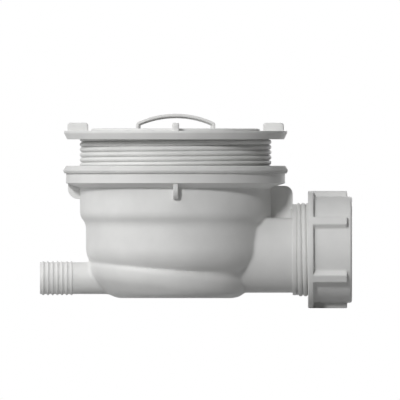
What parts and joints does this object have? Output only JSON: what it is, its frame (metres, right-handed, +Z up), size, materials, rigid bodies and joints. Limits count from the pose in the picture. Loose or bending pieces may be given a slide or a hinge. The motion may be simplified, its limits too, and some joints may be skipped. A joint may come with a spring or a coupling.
{
  "type": "shower trap",
  "caption": "White moulded shower trap: threaded tray flange with lift-out seal insert, stepped bowl, low side outlet with compression nut and a small ridged hose tail.",
  "frame": {"origin": "on the waste axis at the underside of the tray flange, where the shower tray's surface lies", "axes": "+Z up the waste axis, +X along the outlet towards its nut, hose tail along -X"},
  "size_m": [0.1592, 0.1148, 0.0991],
  "materials": {
    "white_plastic": "satin",
    "white_plastic_soft": "matt, flexible",
    "inner_plastic": "satin",
    "seal_rubber": "matt"
  },
  "bodies": {
    "root": {"neck_flange": "white_plastic", "rim_gasket": "white_plastic_soft", "trap_body": "white_plastic", "seal_cup": "inner_plastic", "dip_insert": "white_plastic", "insert_seal": "seal_rubber", "outlet_nut": "white_plastic", "outlet_seal": "seal_rubber", "slip_washer": "inner_plastic"}
  },
  "joints": []
}
